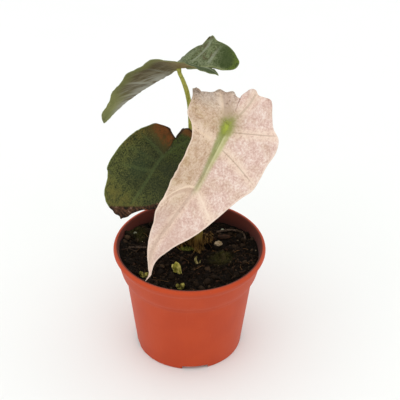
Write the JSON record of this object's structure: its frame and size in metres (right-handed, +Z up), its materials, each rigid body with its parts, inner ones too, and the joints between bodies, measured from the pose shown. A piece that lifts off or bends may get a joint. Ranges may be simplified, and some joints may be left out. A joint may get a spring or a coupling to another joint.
{
  "type": "potted plant",
  "caption": "Young variegated alocasia with arrow-shaped leaves on bare stalks, one leaf pale pink, rooted in dark potting mix in a small round terracotta-coloured plastic nursery pot.",
  "frame": {"origin": "centre of the pot's base, on the surface that the pot stands on", "axes": "+Z up along the pot's axis; -Y is the side that the pink leaf's upper face turns to; +X to the right as seen from there"},
  "size_m": [0.0665, 0.06, 0.1338],
  "materials": {
    "pot": "satin terracotta-coloured plastic",
    "soil": "damp dark potting mix, matte and crumbly",
    "leaf_pink": "pale pink variegated leaf with a green rib, soft sheen",
    "leaf_top": "grey-green leaf, purplish brown underneath, soft sheen",
    "leaf_left": "dark green leaf with brown patches, soft sheen",
    "stalk": "smooth olive-yellow stalk",
    "crown": "brown fibrous rhizome",
    "root": "dry brown root",
    "shoot": "smooth yellow-green shoot",
    "moss": "green moss",
    "granule": "rough tan grain",
    "perlite": "rough off-white mineral grain",
    "bark": "rough dark bark chip"
  },
  "bodies": {
    "root": {"pot": "pot", "soil": "soil", "leaf_pink": "leaf_pink", "leaf_top": "leaf_top", "leaf_left": "leaf_left", "stalk_pink": "stalk", "stalk_top": "stalk", "stalk_left": "stalk", "crown": "crown", "root_right": "root", "root_left": "root", "shoot_front": "shoot", "shoot_rim": "shoot", "shoot_left": "shoot", "shoot_curl": "shoot", "moss": "moss", "granule": "granule", "perlite_left": "perlite", "perlite_back": "perlite", "bark": "bark"}
  },
  "joints": []
}
